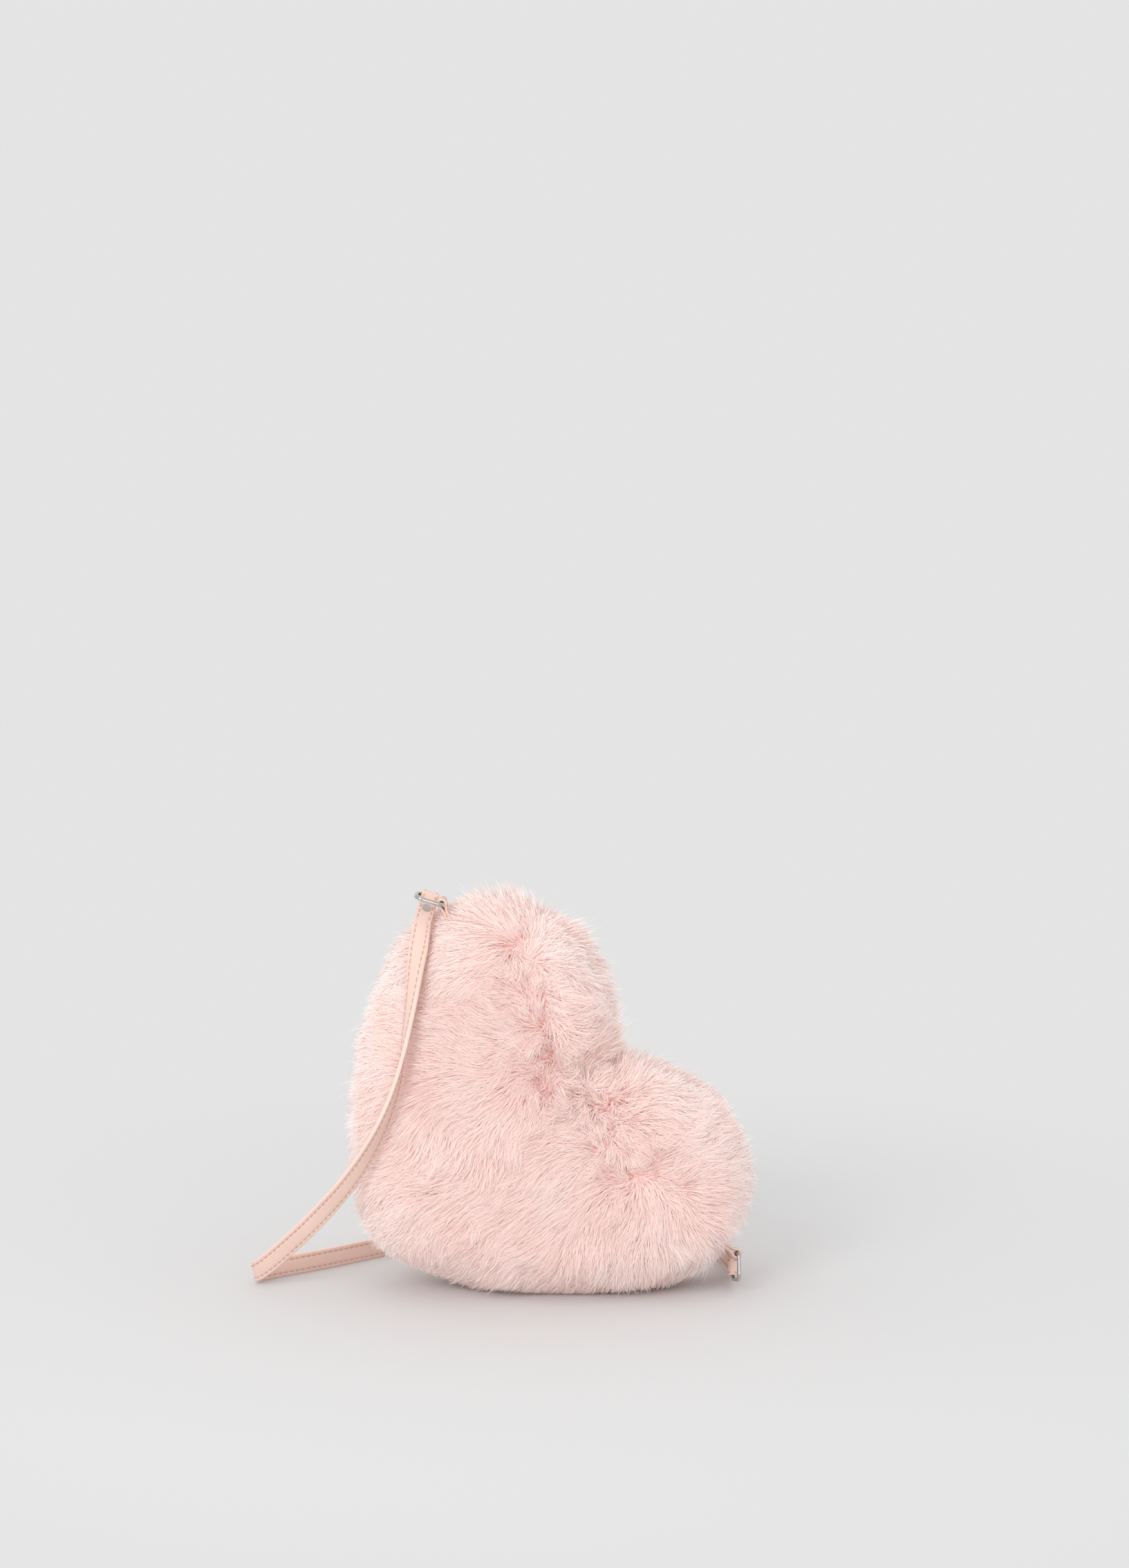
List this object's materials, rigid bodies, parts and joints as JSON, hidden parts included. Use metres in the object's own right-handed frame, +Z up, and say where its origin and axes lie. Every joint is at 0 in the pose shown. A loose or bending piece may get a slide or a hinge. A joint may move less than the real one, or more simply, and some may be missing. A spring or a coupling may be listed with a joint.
{
  "type": "heart shaped purse",
  "caption": "Heart shaped faux-fur purse with a padded, lined pocket, a curved zip hidden in the pile and a flat leather strap riveted to swinging D-rings.",
  "frame": {"origin": "on the surface it stands on, below the middle of the purse without its strap", "axes": "+Z up, the front of the heart faces -Y, the heart's point is to the left (-X)"},
  "size_m": [0.2001, 0.1176, 0.1614],
  "materials": {
    "fur": "soft pile",
    "wadding": "matt",
    "lining": "satin",
    "zip_tape": "woven",
    "zip_teeth": "moulded",
    "metal": "polished",
    "leather": "smooth, satin"
  },
  "bodies": {
    "heart_body": {"front_fur_panel": "fur", "fur_gusset": "fur", "back_fur_panel": "fur", "front_wadding": "wadding", "gusset_wadding": "wadding", "back_wadding": "wadding", "front_lining": "lining", "gusset_lining": "lining", "back_lining": "lining", "zip_tape_front": "zip_tape", "zip_tape_back": "zip_tape", "zip_teeth_front": "zip_teeth", "zip_teeth_back": "zip_teeth", "zip_bottom_stop": "zip_teeth", "zip_top_stops": "zip_teeth", "left_tab": "leather", "right_tab": "leather", "strap_front_run": "leather", "strap_back_run": "leather"},
    "slider": {"zip_slider": "metal"},
    "pull": {"zip_pull": "metal"},
    "left_ring": {"left_d_ring": "metal", "left_strap_end": "leather", "left_rivet_cap": "metal", "left_rivet_back": "metal"},
    "right_ring": {"right_d_ring": "metal", "right_strap_end": "leather", "right_rivet_cap": "metal", "right_rivet_back": "metal"}
  },
  "joints": [
    {"name": "zip_travel", "type": "hinge", "parent": "heart_body", "child": "slider", "pos_m": [-0.02332, 0, 0.11084], "axis": [0, 1, 0], "range_deg": [0, 73], "deforming": ["zip_teeth_front", "zip_teeth_back"]},
    {"name": "pull_flip", "type": "hinge", "parent": "slider", "child": "pull", "pos_m": [-0.02104, 0, 0.15438], "axis": [0, -1, 0], "range_deg": [0, 150]},
    {"name": "left_ring_swing", "type": "hinge", "parent": "heart_body", "child": "left_ring", "pos_m": [-0.04286, -0.008, 0.15686], "axis": [0, 1, 0], "range_deg": [0, 70], "deforming": ["strap_front_run"]},
    {"name": "right_ring_swing", "type": "hinge", "parent": "heart_body", "child": "right_ring", "pos_m": [0.0742, -0.008, 0.01474], "axis": [-0.1581, 0.9613, -0.2258], "range_deg": [-75, 10], "deforming": ["strap_back_run"]}
  ]
}
